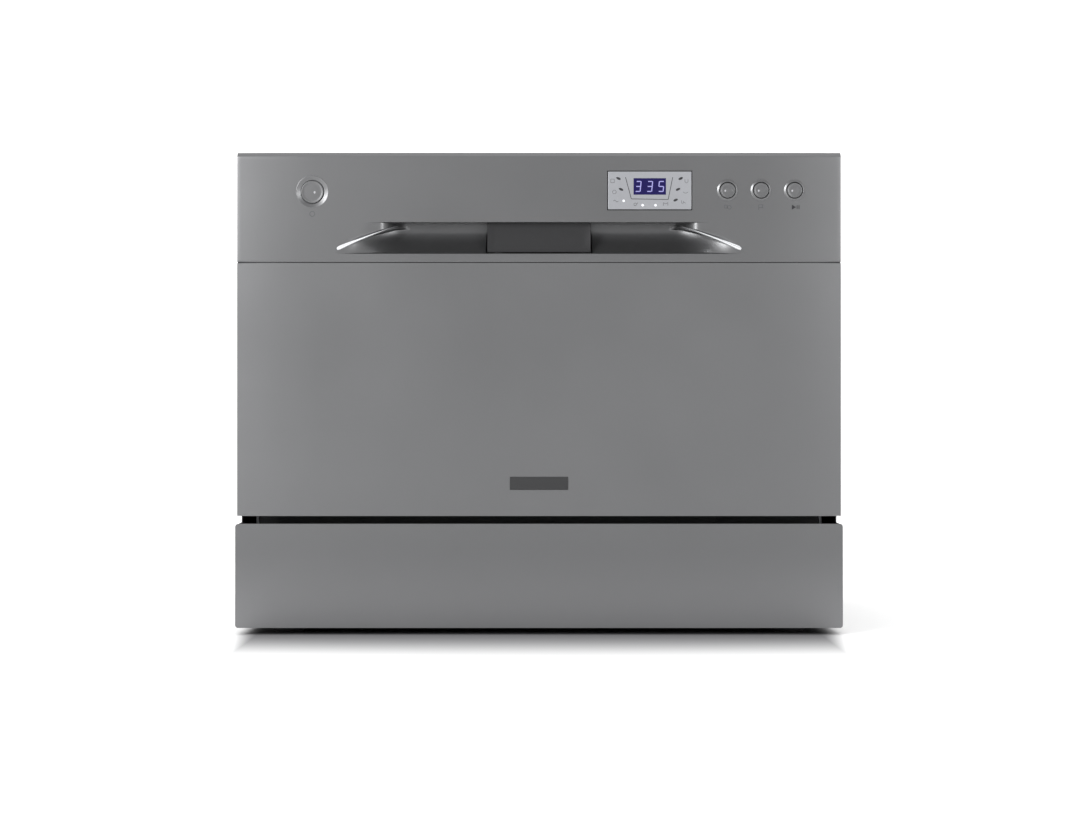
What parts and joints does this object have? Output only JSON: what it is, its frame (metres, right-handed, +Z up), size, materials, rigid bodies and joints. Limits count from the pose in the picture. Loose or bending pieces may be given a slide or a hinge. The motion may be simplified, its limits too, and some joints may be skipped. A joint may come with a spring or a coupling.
{
  "type": "countertop dishwasher",
  "caption": "Compact box-shaped dishwasher with a drop-down door, control panel, recessed latch handle, tub, spray arm and a roll-out rack.",
  "frame": {"origin": "middle of the footprint, at the surface the dishwasher stands on", "axes": "+Z up, the door faces -Y, +X to the viewer's right"},
  "size_m": [0.55, 0.5, 0.438],
  "materials": {
    "silver_paint": "fine silver metallic paint, near matte",
    "silver_plastic": "silver metallic moulded plastic",
    "stainless": "brushed stainless sheet",
    "zinc_steel": "zinc-plated steel",
    "chrome_trim": "bright chrome",
    "black_plastic": "black moulded plastic",
    "dark_plastic": "dark grey moulded plastic",
    "grey_plastic": "grey moulded plastic",
    "white_plastic": "white moulded plastic",
    "blue_plastic": "blue moulded plastic",
    "rubber": "black rubber",
    "felt": "grey felt pad",
    "window": "tinted display window",
    "board": "green circuit board",
    "coated_wire": "grey plastic-coated steel wire"
  },
  "bodies": {
    "cabinet": {"base_tray": "dark_plastic", "cabinet_wrap": "silver_paint", "rear_panel": "zinc_steel", "plinth": "silver_paint", "front_crossmember": "black_plastic", "tub": "stainless", "tub_seal": "rubber", "tub_insulation": "felt", "sump": "grey_plastic", "fine_filter": "stainless", "spray_arm_post": "white_plastic", "wash_pump": "grey_plastic", "drain_pump": "dark_plastic", "heater": "stainless", "softener": "white_plastic", "inlet_valve": "white_plastic", "air_break": "white_plastic", "hoses": "black_plastic", "float_switch": "dark_plastic", "latch_strike": "zinc_steel", "hinge_brackets": "zinc_steel", "hinge_springs": "zinc_steel", "feet": "rubber", "cord_inlet": "black_plastic", "rear_screws": "zinc_steel"},
    "door": {"door_outer_panel": "silver_paint", "control_panel": "silver_plastic", "door_inner_panel": "stainless", "handle_pocket": "silver_plastic", "handle_trim": "chrome_trim", "display_frame": "silver_plastic", "display_window": "window", "indicator_lights": "white_plastic", "button_bezels": "silver_plastic", "badge_plate": "black_plastic", "control_board": "board", "dispenser": "white_plastic", "door_latch": "dark_plastic", "door_switch": "black_plastic", "hinge_arms": "zinc_steel", "door_lower_seal": "rubber", "door_screws": "zinc_steel"},
    "power_button": {"power_button": "silver_plastic"},
    "function_button": {"function_button": "silver_plastic"},
    "delay_button": {"delay_button": "silver_plastic"},
    "start_button": {"start_button": "silver_plastic"},
    "latch_paddle": {"latch_paddle": "dark_plastic"},
    "latch_cam": {"latch_cam": "white_plastic"},
    "dispenser_flap": {"dispenser_flap": "white_plastic"},
    "rinse_aid_cap": {"rinse_aid_cap": "blue_plastic"},
    "spray_arm": {"spray_arm": "white_plastic"},
    "salt_cap": {"salt_cap": "white_plastic"},
    "coarse_filter": {"coarse_filter": "white_plastic"},
    "float": {"float": "white_plastic"},
    "wash_impeller": {"wash_impeller": "white_plastic"},
    "rack": {"rack": "coated_wire"},
    "rack_wheels_front": {"rack_wheels_front": "grey_plastic"},
    "rack_wheels_rear": {"rack_wheels_rear": "grey_plastic"},
    "cutlery_basket": {"cutlery_basket": "grey_plastic"},
    "cup_shelf": {"cup_shelf": "coated_wire"}
  },
  "joints": [
    {"name": "door_hinge", "type": "hinge", "parent": "cabinet", "child": "door", "pos_m": [0, -0.209, 0.1416], "axis": [1, 0, 0], "range_deg": [0, 90], "stiffness_Nm_per_rad": 3, "deforming": ["hinge_springs"]},
    {"name": "rack_slide", "type": "slide", "parent": "cabinet", "child": "rack", "axis": [0, -1, 0], "range_m": [0, 0.16]},
    {"name": "front_wheels_spin", "type": "hinge", "parent": "rack", "child": "rack_wheels_front", "pos_m": [0, -0.079, 0.1671], "axis": [1, 0, 0], "continuous": true},
    {"name": "rear_wheels_spin", "type": "hinge", "parent": "rack", "child": "rack_wheels_rear", "pos_m": [0, 0.081, 0.1671], "axis": [1, 0, 0], "continuous": true},
    {"name": "basket_lift", "type": "slide", "parent": "rack", "child": "cutlery_basket", "axis": [0, 0, 1], "range_m": [0, 0.08]},
    {"name": "cup_shelf_fold", "type": "hinge", "parent": "rack", "child": "cup_shelf", "pos_m": [-0.222, 0.024, 0.2778], "axis": [0, -1, 0], "range_deg": [0, 90]},
    {"name": "spray_arm_spin", "type": "hinge", "parent": "cabinet", "child": "spray_arm", "pos_m": [0, -0.009, 0.1746], "axis": [0, 0, 1], "continuous": true},
    {"name": "coarse_filter_twist", "type": "hinge", "parent": "cabinet", "child": "coarse_filter", "pos_m": [0.095, 0.0125, 0.1326], "axis": [0, 0, 1], "range_deg": [0, 60]},
    {"name": "salt_cap_turn", "type": "hinge", "parent": "cabinet", "child": "salt_cap", "pos_m": [-0.185, 0.06, 0.1526], "axis": [0, 0, 1], "range_deg": [0, 90]},
    {"name": "float_lift", "type": "slide", "parent": "cabinet", "child": "float", "axis": [0, 0, 1], "range_m": [0, 0.01]},
    {"name": "impeller_spin", "type": "hinge", "parent": "cabinet", "child": "wash_impeller", "pos_m": [0, 0.013, 0.0976], "axis": [1, 0, 0], "continuous": true},
    {"name": "power_press", "type": "slide", "parent": "door", "child": "power_button", "axis": [0, 1, 0], "range_m": [0, 0.0015], "stiffness_N_per_m": 400},
    {"name": "function_press", "type": "slide", "parent": "door", "child": "function_button", "axis": [0, 1, 0], "range_m": [0, 0.0015], "stiffness_N_per_m": 400},
    {"name": "delay_press", "type": "slide", "parent": "door", "child": "delay_button", "axis": [0, 1, 0], "range_m": [0, 0.0015], "stiffness_N_per_m": 400},
    {"name": "start_press", "type": "slide", "parent": "door", "child": "start_button", "axis": [0, 1, 0], "range_m": [0, 0.0015], "stiffness_N_per_m": 400},
    {"name": "paddle_pull", "type": "hinge", "parent": "door", "child": "latch_paddle", "pos_m": [0, -0.241, 0.3766], "axis": [-1, 0, 0], "range_deg": [0, 14], "stiffness_Nm_per_rad": 0.2},
    {"name": "latch_cam_turn", "type": "hinge", "parent": "door", "child": "latch_cam", "pos_m": [0, -0.222, 0.392], "axis": [-1, 0, 0], "range_deg": [0, 8]},
    {"name": "flap_open", "type": "hinge", "parent": "door", "child": "dispenser_flap", "pos_m": [-0.0675, -0.2014, 0.2711], "axis": [1, 0, 0], "range_deg": [0, 95]},
    {"name": "rinse_cap_turn", "type": "hinge", "parent": "door", "child": "rinse_aid_cap", "pos_m": [0.0055, -0.2, 0.2546], "axis": [0, 1, 0], "range_deg": [0, 90]}
  ],
  "couplings": [
    {"joint": "rack_slide", "follows": "door_hinge", "m_per_rad": 0.1},
    {"joint": "front_wheels_spin", "follows": "door_hinge", "ratio": 6.25},
    {"joint": "rear_wheels_spin", "follows": "door_hinge", "ratio": 6.25},
    {"joint": "latch_cam_turn", "follows": "paddle_pull", "ratio": 0.5}
  ]
}
